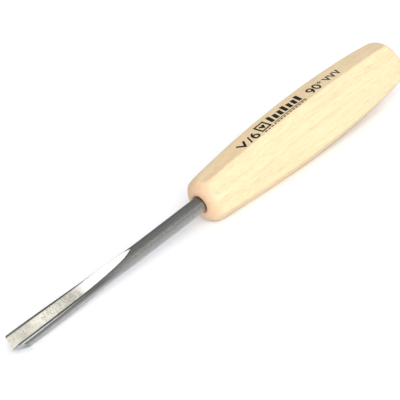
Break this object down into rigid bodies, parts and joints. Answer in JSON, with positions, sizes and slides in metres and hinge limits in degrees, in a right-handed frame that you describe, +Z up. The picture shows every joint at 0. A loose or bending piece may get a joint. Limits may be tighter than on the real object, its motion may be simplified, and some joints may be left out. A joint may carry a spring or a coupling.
{
  "type": "lino cutter",
  "caption": "V-shaped hand cutter for lino and wood: a forged steel blade with a V channel and round shank, its tang seated in an octagonal barrel handle of pale hardwood.",
  "frame": {"origin": "on the bench under the middle of the tool, which lies at rest on its keel and on the lowest facet of the handle", "axes": "+X along the tool towards the cutting edge, +Z up with the V channel open upwards, +Y to the left of the tool seen from the butt"},
  "size_m": [0.2404, 0.0292, 0.0315],
  "materials": {
    "blade_steel": "ground and satin, with the forging's grey on the shank",
    "ferrule_steel": "plain drawn tube",
    "handle_wood": "pale close-grained hardwood, smooth sanded, thin wax"
  },
  "bodies": {
    "root": {"blade": "blade_steel", "inner_ferrule": "ferrule_steel", "handle": "handle_wood"}
  },
  "joints": []
}
